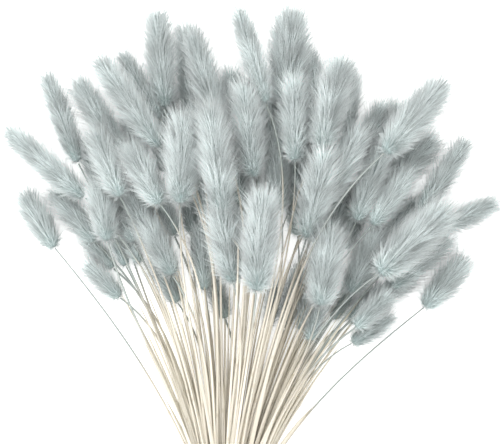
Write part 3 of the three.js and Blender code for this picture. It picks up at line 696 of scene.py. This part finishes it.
# The broad leaf blades, and then the stretch of the stems below the tie
BLADE_COUNT = 16
BLADE_FAN = (-23, 33)
BLADE_LENGTHS = (100, 175)
BLADE_WIDTHS = (2.6, 4.2)
BLADE_ROOTS = 0.8
BLADE_RISE = 0.16
BLADE_GATHERED = 0.4
BLADE_SEED = 9000
TAIL_LENGTH = 84
TAIL_LENGTH_SPREAD = 14
TAIL_SPREAD = 1.15
TAIL_RISE = 0.2
TAIL_WANDER = 3
TAIL_BEND = 0.35
TAIL_SEED = 5000

# Waist places are spread evenly by the golden angle. Stems keep their order, left to right and low to high.
golden = math.pi * (3 - math.sqrt(5))
waist_reach = WAIST_RADIUS - STEM_RADIUS - WAIST_RIM
spots = []
for k in range(len(heads)):
    out = waist_reach * math.sqrt((k + 0.5) / len(heads))
    spots.append((out * math.cos(k * golden), out * math.sin(k * golden)))
spots.sort(key=lambda spot: spot[0])
by_angle = sorted(heads, key=lambda head: head.start[0] / head.start[1])
per_column = math.ceil(len(heads) / WAIST_COLUMNS)
for c in range(0, len(heads), per_column):
    column = sorted(by_angle[c : c + per_column], key=lambda head: head.start[2])
    for head, spot in zip(column, sorted(spots[c : c + per_column], key=lambda spot: spot[1])):
        head.waist = spot


def planned_stem(head):
    """A stem's line before it is bent clear of the heads: a cubic curve from the waist to the head's base."""
    root = np.array([head.waist[0], STEM_ROOT, WAIST_HEIGHT + head.waist[1]])
    foot = head.start - head.axis * BASE_GAP
    reach = np.linalg.norm(foot - root)
    leaving = (foot - root) / reach
    leaving += (np.array([0, 1, 0]) - leaving) * STEM_GATHERED
    leaving /= np.linalg.norm(leaving)
    first = root + leaving * STEM_REACH_AT_WAIST * reach
    nod = head.axis * (STEM_SWEEP, 1, 1)
    second = foot - nod / np.linalg.norm(nod) * STEM_REACH_AT_HEAD * reach
    t = np.linspace(0, 1, STEM_POINTS)[:, None]
    s = 1 - t
    return s**3 * root + 3 * s**2 * t * first + 3 * s * t**2 * second + t**3 * foot


def seeded_random(seed):
    """Random numbers from 0 to 1, the same in every run."""
    state = seed
    while True:
        state = state * 16807 % (2**31 - 1)
        yield state / (2**31 - 1)


def planned_blade(draw, share, lengths, widths):
    """A leaf blade's line before it is bent clear of the heads, and its width. It ends in the open."""
    spread = BLADE_ROOTS * waist_reach
    turn = math.radians(np.interp(share, (0, 1), BLADE_FAN))
    length = np.interp(next(draw), (0, 1), lengths)
    root = np.array([spread * (2 * share - 1), STEM_ROOT, WAIST_HEIGHT + spread * (next(draw) - 0.5)])
    way = np.array([math.sin(turn), math.cos(turn), BLADE_RISE * (next(draw) - 0.5)])
    bend = root + (way + (np.array([0, 1, 0]) - way) * BLADE_GATHERED) * length / 2
    t = np.linspace(0, 1, STEM_POINTS)[:, None]
    width = np.interp(next(draw), (0, 1), widths)
    return (1 - t) ** 2 * root + 2 * (1 - t) * t * bend + t**2 * (root + way * length), width


# Every stem and blade is bent clear of every other head, in small steps that keep its own bends smooth
planned = [planned_stem(head) for head in heads]
blade_widths = []
for index in range(BLADE_COUNT):
    draw = seeded_random(BLADE_SEED + index)
    line, width = planned_blade(draw, (index + 0.5) / BLADE_COUNT, BLADE_LENGTHS, BLADE_WIDTHS)
    planned.append(line)
    blade_widths.append(width)
planned = np.array(planned)
lines = planned.copy()
starts = np.array([head.start for head in heads])
spans = np.array([head.end - head.start for head in heads])
widths = np.array([head.width for head in heads], float)
others = ~np.eye(len(lines), len(heads), dtype=bool)
for round_number in range(BENDING_ROUNDS + CLEARING_ROUNDS):
    smoothing = STEM_SMOOTHING if round_number < BENDING_ROUNDS else 0
    for k in range(STEM_FIXED_AT_WAIST, STEM_POINTS - STEM_FIXED_AT_HEAD):
        bent = lines[:, k - 1 : k + 2] - planned[:, k - 1 : k + 2]
        lines[:, k] += ((bent[:, 0] + bent[:, 2]) / 2 - bent[:, 1]) * smoothing
        offset = lines[:, k][:, None] - starts[None]
        t = np.clip((offset * spans).sum(2) / (spans**2).sum(1), 0, 1)
        offset = offset - spans * t[..., None]
        room = head_radius(widths, t) + STEM_RADIUS + NEIGHBOUR_GAP
        apart = np.maximum(np.linalg.norm(offset, axis=2), SAME_PLACE)
        push = np.where(others & (apart < room), PUSH_SHARE * (room - apart) / apart, 0)
        lines[:, k] += (offset * push[..., None]).sum(1)
        lines[:, k, 2] = np.maximum(lines[:, k, 2], STEM_RADIUS)
for head, line in zip(heads, lines):
    head.line = line


def tail_line(head):
    """The stretch of a stem below the tie, from the waist down."""
    draw = seeded_random(TAIL_SEED + head.number)
    length = TAIL_LENGTH + TAIL_LENGTH_SPREAD * (next(draw) - 0.5)
    points = []
    for share in (0, TAIL_BEND, 1):
        x = head.waist[0] * (1 + TAIL_SPREAD * share) + TAIL_WANDER * share * (next(draw) - 0.5)
        z = WAIST_HEIGHT + head.waist[1] * (1 + TAIL_RISE * share)
        points.append((x, -STEM_ROOT - length * share, max(z, STEM_RADIUS)))
    return np.array(points)


CURVE_STEPS = 12


def smooth_line(points, step):
    """A smooth curve through points, as points about a step apart, and how far each is along it."""
    points = np.asarray(points, float)
    ends = np.vstack([2 * points[0] - points[1], points, 2 * points[-1] - points[-2]])
    fine = []
    for a, b, c, d in zip(ends, ends[1:], ends[2:], ends[3:]):
        t = np.linspace(0, 1, CURVE_STEPS, endpoint=False)[:, None]
        bend, twist = 2 * a - 5 * b + 4 * c - d, 3 * b - a - 3 * c + d
        fine.append(b + 0.5 * ((c - a) * t + bend * t**2 + twist * t**3))
    fine = np.vstack([*fine, points[-1:]])
    gone = np.concatenate([[0], np.cumsum(np.linalg.norm(np.diff(fine, axis=0), axis=1))])
    count = max(2, math.ceil(gone[-1] / step) + 1)
    even = np.linspace(0, gone[-1], count)
    return np.stack([np.interp(even, gone, fine[:, axis]) for axis in range(3)], axis=1), even


# A tube's corners and lobes reach past its radius, so a strand keeps this many radii above the floor
STAND_OFF = 1.3


class Strands:
    """A source mesh of many open lines, whose points have a radius, a tone and a place along the line."""

    def __init__(self):
        self.points, self.edges, self.values = [], [], {}

    def add(self, points, **values):
        first = len(self.points)
        self.points += list(points)
        self.edges += [(first + k, first + k + 1) for k in range(len(points) - 1)]
        for name, value in values.items():
            self.values.setdefault(name, []).extend(np.broadcast_to(value, len(points)).tolist())

    def mesh(self, name):
        source = bpy.data.meshes.new(name)
        places = in_metres(self.points)
        thick = np.array(self.values["radius_m"]) * STAND_OFF
        places[:, 2] = np.maximum(places[:, 2], thick)
        source.from_pydata(places.tolist(), self.edges, [])
        for label, value in self.values.items():
            source.attributes.new(label, "FLOAT", "POINT").data.foreach_set("value", value)
        return source


# A culm thins over its upper two thirds. It has one swollen joint about halfway up, with its own points.
CULM_STEP = 9
CULM_SIDES = 6
CULM_RADIUS_LOW = 0.95
CULM_RADIUS_AT_HEAD = 0.55
CULM_THINS_FROM = 1 / 3
CULM_STOUTNESS = (0.85, 1.25)
JOINT_PLACES = (0.38, 0.62)
JOINT_LENGTH = 2.2
JOINT_STATIONS = np.array([-1, -0.35, 0.35, 1])
JOINT_CROWN = 1.5
JOINT_SWELL = 1.15
JOINT_SHADE = 0.35

# Its colour runs from straw to cream, and to the dye near its head, off to the sides and high up. Stems of
# the lower layers of the pile have painted shade.
CULM_TONES = (0.89, 1.04)
CULM_PAINTED_SHADE_BY_LAYER = (0.96, 0.9, 1.01, 1.03)
FIBRE_TONES = (0.86, 1.08)
FIBRE_SCALE = (9.0, 40.0, 14.0)
STRAW_THROUGH = 0.18
CREAM_BY = 100
CREAM_PLACE = 0.45
DYED_BELOW_HEAD = 110
DYED_OUT_BY = 75
DYED_FROM, DYED_BY = 150, 280
STRAW_LIGHT = "#ece6d8"
STRAW = "#ddd5c5"
STRAW_DARK = "#b3a78e"
STRAW_GREYED = "#cbc4b6"
STRAW_DYED = "#a9b0ac"

# Dry straw: a smooth, waxy skin over long fibres, pale cream with brown joints, and greyed by dye at its top
straw, tree = new_material("Dry_cream_straw")
along, tone, around, joint = [
    add(tree, "ShaderNodeAttribute", attribute_name=name).outputs["Fac"]
    for name in ("along", "tone", "around", "joint")
]
straw_dyes = [(0.0, STRAW), (CREAM_PLACE, STRAW_LIGHT), (0.72, STRAW_GREYED), (0.88, STRAW_DYED)]
dyed_up = graded(tree, along, straw_dyes)
fibre_place = add(tree, "ShaderNodeCombineXYZ", {0: around, 1: tone, 2: along})
fibre_map = add(tree, "ShaderNodeMapping", {"Vector": fibre_place, "Scale": FIBRE_SCALE})
fibres = add(tree, "ShaderNodeTexNoise", {"Vector": fibre_map, "Scale": 1.0, "Detail": 3.0})
low, high = FIBRE_TONES
fibre_tones = {"Value": fibres, "From Min": 0.3, "From Max": 0.7, "To Min": low, "To Max": high}
streaks = add(tree, "ShaderNodeMapRange", fibre_tones)
straw_tone = add(tree, "ShaderNodeMath", {0: streaks, 1: tone}, operation="MULTIPLY")
plain = toned(tree, dyed_up, straw_tone)
jointed = add(tree, "ShaderNodeMix", {0: joint, 6: plain, 7: linear(STRAW_DARK)}, data_type="RGBA").outputs[2]
grain = add(tree, "ShaderNodeBump", {"Height": fibres, "Distance": 0.12 * MM, "Strength": 0.5})
skin = add(
    tree,
    "ShaderNodeBsdfPrincipled",
    {"Base Color": jointed, "Roughness": 0.42, "Normal": grain, "Specular IOR Level": 0.4},
)
through = add(tree, "ShaderNodeBsdfTranslucent", {"Color": jointed})
stalk = add(tree, "ShaderNodeMixShader", {"Fac": STRAW_THROUGH, 1: skin, 2: through})
add(tree, "ShaderNodeOutputMaterial", {"Surface": stalk})

# A strand becomes a tube. Its section can be flattened, and its seam lapped over as a rolled leaf's is.
tube_values = {"Sides": 6, "Flatness": 1.0, "Lap": 0.0, "Lobes": 0.0, "Lobe depth": 0.0, "Finish": straw}
tube_tree, given, end = geometry_tree("Tube_along_each_strand", tube_values)
tree = tube_tree
ring = add(tree, "GeometryNodeCurvePrimitiveCircle", {"Resolution": given["Sides"], "Radius": 1.0})
around = add(tree, "GeometryNodeSplineParameter")
turn = add(tree, "ShaderNodeMath", {0: around, 1: 2 * math.pi}, operation="MULTIPLY")
lobe_turn = add(tree, "ShaderNodeMath", {0: turn, 1: given["Lobes"]}, operation="MULTIPLY")
lobe = add(tree, "ShaderNodeMath", {0: lobe_turn}, operation="COSINE")
lobed = add(tree, "ShaderNodeMath", {0: lobe, 1: given["Lobe depth"], 2: 1.0}, operation="MULTIPLY_ADD")
lapped = add(tree, "ShaderNodeMath", {0: around, 1: given["Lap"], 2: lobed}, operation="MULTIPLY_ADD")
cosine = add(tree, "ShaderNodeMath", {0: turn}, operation="COSINE")
sine = add(tree, "ShaderNodeMath", {0: turn}, operation="SINE")
wide = add(tree, "ShaderNodeMath", {0: cosine, 1: lapped}, operation="MULTIPLY")
thick = add(tree, "ShaderNodeMath", {0: sine, 1: lapped}, operation="MULTIPLY")
flat = add(tree, "ShaderNodeMath", {0: thick, 1: given["Flatness"]}, operation="MULTIPLY")
section = add(tree, "ShaderNodeCombineXYZ", {0: wide, 1: flat})
ring = add(
    tree, "GeometryNodeStoreNamedAttribute", {"Geometry": ring, "Name": "around", "Value": around}
)
ring = add(tree, "GeometryNodeSetPosition", {"Geometry": ring, "Position": section})
strands = add(tree, "GeometryNodeMeshToCurve", {"Mesh": given["Geometry"]})
tilt = add(tree, "GeometryNodeInputNamedAttribute", {"Name": "tilt"})
strands = add(tree, "GeometryNodeSetCurveTilt", {"Curve": strands, "Tilt": tilt})
radius = add(tree, "GeometryNodeInputNamedAttribute", {"Name": "radius_m"})
tubes = add(
    tree,
    "GeometryNodeCurveToMesh",
    {"Curve": strands, "Profile Curve": ring, "Scale": radius, "Fill Caps": True},
)
tubes = add(tree, "GeometryNodeRealizeInstances", {"Geometry": tubes})
tubes = add(tree, "GeometryNodeSetShadeSmooth", {"Geometry": tubes})
tubes = add(tree, "GeometryNodeSetMaterial", {"Geometry": tubes, "Material": given["Finish"]})
tree.links.new(tubes.outputs[0], end[0])

culm_draw = np.random.default_rng(57)
culms = Strands()
for head in heads:
    points, gone = smooth_line(np.vstack([tail_line(head)[::-1], head.line]), CULM_STEP)
    share = gone / gone[-1]
    joint_at = gone[-1] * culm_draw.uniform(*JOINT_PLACES)
    gone = np.sort(np.concatenate([gone, joint_at + JOINT_LENGTH * JOINT_STATIONS]))
    points = np.stack([np.interp(gone, share * gone[-1], points[:, axis]) for axis in range(3)], axis=1)
    share = gone / gone[-1]
    near = np.clip(1 - abs(gone - joint_at) / JOINT_LENGTH, 0, 1)
    crown = np.minimum(near * JOINT_CROWN, 1)
    radius = np.interp(share, (CULM_THINS_FROM, 1), (CULM_RADIUS_LOW, CULM_RADIUS_AT_HEAD))
    radius *= culm_draw.uniform(*CULM_STOUTNESS) * (1 + (JOINT_SWELL - 1) * crown)
    out, up = abs(points[:, 0]), points[:, 1]
    cream = CREAM_PLACE * np.minimum((up + TAIL_LENGTH) / (CREAM_BY + TAIL_LENGTH), 1)
    below_head = 1 - (gone[-1] - gone) / DYED_BELOW_HEAD
    among_heads = (up - DYED_FROM) / (DYED_BY - DYED_FROM)
    dyed = np.max([cream, below_head, out / DYED_OUT_BY, among_heads], axis=0)
    # A stem's tone is random, with painted shade by its head's layer
    culms.add(
        points,
        radius_m=radius * MM,
        along=np.clip(dyed, 0, 1),
        joint=JOINT_SHADE * crown,
        tone=culm_draw.uniform(*CULM_TONES) * CULM_PAINTED_SHADE_BY_LAYER[head.layer],
        tilt=0.0,
    )
piece = grown("culms", culms.mesh("culms"), tube_tree, {**tube_values, "Sides": CULM_SIDES})
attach(piece, "root")
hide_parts("stems")

# LEAF SHEATHS AND BLADES
# The dry lower leaves of the grass: a pale papery sheath rolled round the culm, its edges lapped, and blades
# that rise between the culms and end in points. They grow from the culms' joints.
SHEATH_EVERY = 6
SHEATH_FROM, SHEATH_TO = 3, 11
SHEATH_WIDTH = 3.4
SHEATH_TAPER = 0.6
SHEATH_FLATNESS = 0.62
SHEATH_SIDES = 12
SHEATH_LAP = 0.22
SHEATH_STEP = 8
SHEATH_TONES = (0.9, 1.05)
SHEATH_TILT = 0.5
FINE_COUNT = 230
FINE_WHOLE = (185, 215)
FINE_KEPT = (0.4, 0.95)
FINE_WIDTHS = (0.9, 3.2)
BLADE_FLATNESS = 0.45
BLADE_SIDES = 6
BLADE_STEP = 9
BLADE_TIP = 0.45
POINT_FROM = 0.85
POINT_WIDTH = 0.15
BLADE_TONES = (0.86, 1.03)
BLADE_TILT = 0.7
BLADE_TWIST = 0.8
VEIN_COUNT = 18
VEIN_TONES = (0.93, 1.03)
LEAF_THROUGH = 0.25
LEAF_ROOT = "#ddd4c1"
LEAF_PALE = "#efe9db"
LEAF = "#e6e0d1"
LEAF_TIP = "#cbc2ab"

# Dry leaf: thin, dull and papery, with raised veins along it, and light comes through
paper, tree = new_material("Papery_leaf_sheath")
along, tone, around = [
    add(tree, "ShaderNodeAttribute", attribute_name=name).outputs["Fac"]
    for name in ("along", "tone", "around")
]
leaf = graded(tree, along, [(0.0, LEAF_ROOT), (0.4, LEAF_PALE), (0.85, LEAF), (1.0, LEAF_TIP)])
vein_turn = 2 * math.pi * VEIN_COUNT
veins = add(tree, "ShaderNodeMath", {0: around, 1: vein_turn}, operation="MULTIPLY")
veins = add(tree, "ShaderNodeMath", {0: veins}, operation="SINE")
low, high = VEIN_TONES
vein_tones = {"Value": veins, "From Min": -1.0, "From Max": 1.0, "To Min": low, "To Max": high}
vein_tone = add(tree, "ShaderNodeMapRange", vein_tones)
leaf_tone = add(tree, "ShaderNodeMath", {0: vein_tone, 1: tone}, operation="MULTIPLY")
leaf = toned(tree, leaf, leaf_tone)
ribbed = add(tree, "ShaderNodeBump", {"Height": veins, "Distance": 0.08 * MM, "Strength": 0.4})
skin = add(tree, "ShaderNodeBsdfPrincipled", {"Base Color": leaf, "Roughness": 0.5, "Normal": ribbed})
through = add(tree, "ShaderNodeBsdfTranslucent", {"Color": leaf})
thin = add(tree, "ShaderNodeMixShader", {"Fac": LEAF_THROUGH, 1: skin, 2: through})
add(tree, "ShaderNodeOutputMaterial", {"Surface": thin})

leaf_draw = np.random.default_rng(83)
sheaths = Strands()
for head in heads:
    if head.number % SHEATH_EVERY == 0:
        points, gone = smooth_line(head.line[SHEATH_FROM : SHEATH_TO + 1], SHEATH_STEP)
        share = gone / gone[-1]
        sheaths.add(
            points,
            radius_m=SHEATH_WIDTH / 2 * (1 - SHEATH_TAPER * share) * MM,
            along=share,
            tone=leaf_draw.uniform(*SHEATH_TONES),
            tilt=leaf_draw.uniform(-SHEATH_TILT, SHEATH_TILT) + SHEATH_TILT * share,
        )
sheath_values = {"Sides": SHEATH_SIDES, "Flatness": SHEATH_FLATNESS, "Lap": SHEATH_LAP, "Finish": paper}
piece = grown("leaf_sheaths", sheaths.mesh("leaf_sheaths"), tube_tree, {**tube_values, **sheath_values})
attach(piece, "root")
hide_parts("stems")

# The broad blades, and between them many fine ones and broken straws that fill the fan
blade_lines = list(zip(lines[len(heads) :], blade_widths))
for _ in range(FINE_COUNT):
    line, width = planned_blade(iter(leaf_draw.random(4)), leaf_draw.random(), FINE_WHOLE, FINE_WIDTHS)
    kept = math.ceil(STEM_POINTS * leaf_draw.uniform(*FINE_KEPT))
    blade_lines.append((line[:kept], width))
blades = Strands()
for line, width in blade_lines:
    line[:, 2] = np.maximum(line[:, 2], STEM_RADIUS)
    points, gone = smooth_line(line, BLADE_STEP)
    share = gone / gone[-1]
    pointed = np.clip((1 - share) / (1 - POINT_FROM), POINT_WIDTH, 1)
    blades.add(
        points,
        radius_m=width / 2 * (1 - (1 - BLADE_TIP) * share**2) * pointed * MM,
        along=share,
        tone=leaf_draw.uniform(*BLADE_TONES),
        tilt=leaf_draw.uniform(-BLADE_TILT, BLADE_TILT)
        + leaf_draw.uniform(-BLADE_TWIST, BLADE_TWIST) * share,
    )
blade_values = {"Sides": BLADE_SIDES, "Flatness": BLADE_FLATNESS, "Finish": paper}
piece = grown("leaf_blades", blades.mesh("leaf_blades"), tube_tree, {**tube_values, **blade_values})
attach(piece, "root")
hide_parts("stems")

# TWINE TIE
# Four turns of jute twine, laid side by side round the waist and drawn tight, with a knot on top and two
# short ends that hang down beside it. Two plies twisted together, with a dull, hairy surface.
TWINE_TURNS = 4
TWINE_LAY = 7.0
TWINE_STEP = 1.1
TWINE_SIDES = 12
TWINE_PLIES = 2.0
PLY_RELIEF = 0.16
PLY_GROOVE_SHADE = 0.5
PLIED_SHARE = 0.93
STEPS_IN_A_TURN = 24

# The knot: each end comes over from the other side and runs out, and a collar goes round them both
KNOT_OVER = [(-3.5, 1.2, -1.4), (-4.0, -1.2, 0.5), (0, -1.6, 1.7)]
TWINE_END = [(1, 0.4, 0.5), (8, 1.5, -0.5), (14.5, 2.4, -6), (18, 3.2, -14)]
COLLAR_TURN = (0.4, 2 * math.pi + 0.9)
COLLAR_POINTS = 22
COLLAR_HALF = (0.5, 3.2, 2.3)
COLLAR_RISE = 0.6
JUTE_FIBRE_MM = 0.9
JUTE = "#b39b74"
JUTE_PALE_AND_CREST_LIGHT = "#cdb892"
JUTE_DARK_AND_GROOVE_SHADE = "#86704c"

# Jute: coarse, dull brown fibres twisted into two plies, with fuzz that catches the light. Painted shade
# darkens the grooves between the plies and painted light brightens their crests.
jute, tree = new_material("Twisted_jute_twine")
place_on = add(tree, "ShaderNodeTexCoord").outputs["Object"]
tone, around = [
    add(tree, "ShaderNodeAttribute", attribute_name=name).outputs["Fac"] for name in ("tone", "around")
]
fibre_scale = 1 / (JUTE_FIBRE_MM * MM)
fibre = add(tree, "ShaderNodeTexNoise", {"Vector": place_on, "Scale": fibre_scale, "Detail": 4.0})
ply_turn = 2 * math.pi * TWINE_PLIES
strand_turn = add(tree, "ShaderNodeMath", {0: around, 1: ply_turn}, operation="MULTIPLY")
strand = add(tree, "ShaderNodeMath", {0: strand_turn}, operation="COSINE")
# Painted shade in the grooves between plies and painted light on their crests, mixed with random fibre tone
height = add(tree, "ShaderNodeMath", {0: strand, 1: PLY_GROOVE_SHADE, 2: fibre}, operation="MULTIPLY_ADD")
deep = add(tree, "ShaderNodeMapRange", {"Value": height, "From Min": -0.1, "From Max": 1.1})
jute_colour_and_groove_shade = toned(tree, graded(tree, deep, [(0.0, JUTE_DARK_AND_GROOVE_SHADE), (0.5, JUTE), (1.0, JUTE_PALE_AND_CREST_LIGHT)]), tone)
fuzz = add(tree, "ShaderNodeBump", {"Height": fibre, "Distance": 0.3 * MM, "Strength": 0.8})
yarn = add(
    tree,
    "ShaderNodeBsdfPrincipled",
    {"Base Color": jute_colour_and_groove_shade, "Roughness": 0.85, "Normal": fuzz, "Sheen Weight": 0.3},
)
add(tree, "ShaderNodeOutputMaterial", {"Surface": yarn})


def twine(strands, points):
    """Adds one length of twine. Its section has two lobes, one for each ply, and turns once in each lay."""
    line, gone = smooth_line(points, TWINE_STEP)
    strands.add(
        line,
        radius_m=TWINE_RADIUS * PLIED_SHARE * MM,
        along=gone / gone[-1],
        tone=1.0,
        tilt=2 * math.pi * gone / TWINE_LAY,
    )


binding = Strands()
turn_radius = WAIST_RADIUS + TIE_CLEARANCE + TWINE_RADIUS
first_to_last = 2 * TWINE_RADIUS * (TWINE_TURNS - 1)
winding = []
for i in range(TWINE_TURNS * STEPS_IN_A_TURN + 1):
    angle = 2 * math.pi * i / STEPS_IN_A_TURN
    y = first_to_last * (i / (TWINE_TURNS * STEPS_IN_A_TURN) - 0.5)
    winding.append((turn_radius * math.sin(angle), y, WAIST_HEIGHT + turn_radius * math.cos(angle)))
twine(binding, winding)
top = WAIST_HEIGHT + turn_radius + TWINE_RADIUS
for way in (-1, 1):
    twine(binding, [(way * x, way * y, top + z) for x, y, z in KNOT_OVER + TWINE_END])
collar = []
for angle in np.linspace(*COLLAR_TURN, COLLAR_POINTS):
    x, y, z = np.array([math.sin(angle * 2), math.cos(angle), math.sin(angle)]) * COLLAR_HALF
    collar.append((x, y, top + COLLAR_RISE + z))
twine(binding, collar)
twine_values = {"Sides": TWINE_SIDES, "Lobes": TWINE_PLIES, "Lobe depth": PLY_RELIEF, "Finish": jute}
piece = grown("twine_binding", binding.mesh("twine_binding"), tube_tree, {**tube_values, **twine_values})
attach(piece, "root")
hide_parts("tie")

# FLOOR
# A plain table top in matte white paint, one flat sheet that the bunch lies on. It glows a little, so that
# it fades to white.
FLOOR_HALF = 6.0
TABLE_GLOW = 0.5
MOTTLE_DARK = "#f6f6f5"
MOTTLE_LIGHT = "#f9f9f8"

# White paint: chalky and rolled on, with no gloss and a mottle that hardly shows
table_top, tree = new_material("Matte_white_paint")
place_on = add(tree, "ShaderNodeTexCoord").outputs["Object"]
mottle = add(tree, "ShaderNodeTexNoise", {"Vector": place_on, "Scale": 40.0, "Detail": 2.0})
paint = graded(tree, mottle, [(0.3, MOTTLE_DARK), (0.7, MOTTLE_LIGHT)])
dull = {"Base Color": paint, "Roughness": 0.9, "Specular IOR Level": 0.1}
glow = {"Emission Color": (1, 1, 1, 1), "Emission Strength": TABLE_GLOW}
matte = add(tree, "ShaderNodeBsdfPrincipled", {**dull, **glow})
add(tree, "ShaderNodeOutputMaterial", {"Surface": matte})
floor_mesh = bpy.data.meshes.new("floor")
floor_corners = [(x * FLOOR_HALF, y * FLOOR_HALF, 0) for x, y in ((-1, -1), (1, -1), (1, 1), (-1, 1))]
floor_mesh.from_pydata(floor_corners, [], [(0, 1, 2, 3)])
floor_mesh.materials.append(table_top)
floor = bpy.data.objects.new("floor", floor_mesh)
bpy.context.scene.collection.objects.link(floor)
floor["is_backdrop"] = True

# LIGHT
# An even white studio, with one large soft light from the left and above.
SKY_STRENGTH = 1.5
KEY_POWER = 27
KEY_SIZE = 2.2
KEY_PLACE = (-0.9, 0.75, 1.6)
KEY_AIM = (0, 0.07, 0.03)
world = bpy.data.worlds.new("White_studio")
world.use_nodes = True
sky = world.node_tree.nodes["Background"].inputs
sky["Color"].default_value = (1, 1, 1, 1)
sky["Strength"].default_value = SKY_STRENGTH
bpy.context.scene.world = world
key = bpy.data.lights.new("key", "AREA")
key.energy = KEY_POWER
key.size = KEY_SIZE
key_light = bpy.data.objects.new("key", key)
key_light.location = KEY_PLACE
bpy.context.scene.collection.objects.link(key_light)
key_light.rotation_mode = "QUATERNION"
key_light.rotation_quaternion = (Vector(KEY_PLACE) - Vector(KEY_AIM)).to_track_quat("Z", "Y")
key_light.visible_camera = False
bpy.context.scene.view_settings.view_transform = "Standard"

# CAMERA
# Straight above, with the stems toward the bottom edge of the frame, which cuts them off above the tie.
FRAME_WIDTH_MM = 350
FRAME_MIDDLE = (16.5, 222.6, 0)
CAMERA_HEIGHT = 5.0
FOCUS_HEIGHT = 0.04
SENSOR = 36
camera_data = bpy.data.cameras.new("camera")
camera_data.sensor_width = SENSOR
camera_data.lens = SENSOR * (CAMERA_HEIGHT - FOCUS_HEIGHT) / (FRAME_WIDTH_MM * MM)
camera = bpy.data.objects.new("camera", camera_data)
camera.location = (*in_metres(FRAME_MIDDLE)[:2], CAMERA_HEIGHT)
bpy.context.scene.collection.objects.link(camera)
bpy.context.scene.camera = camera

low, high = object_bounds()
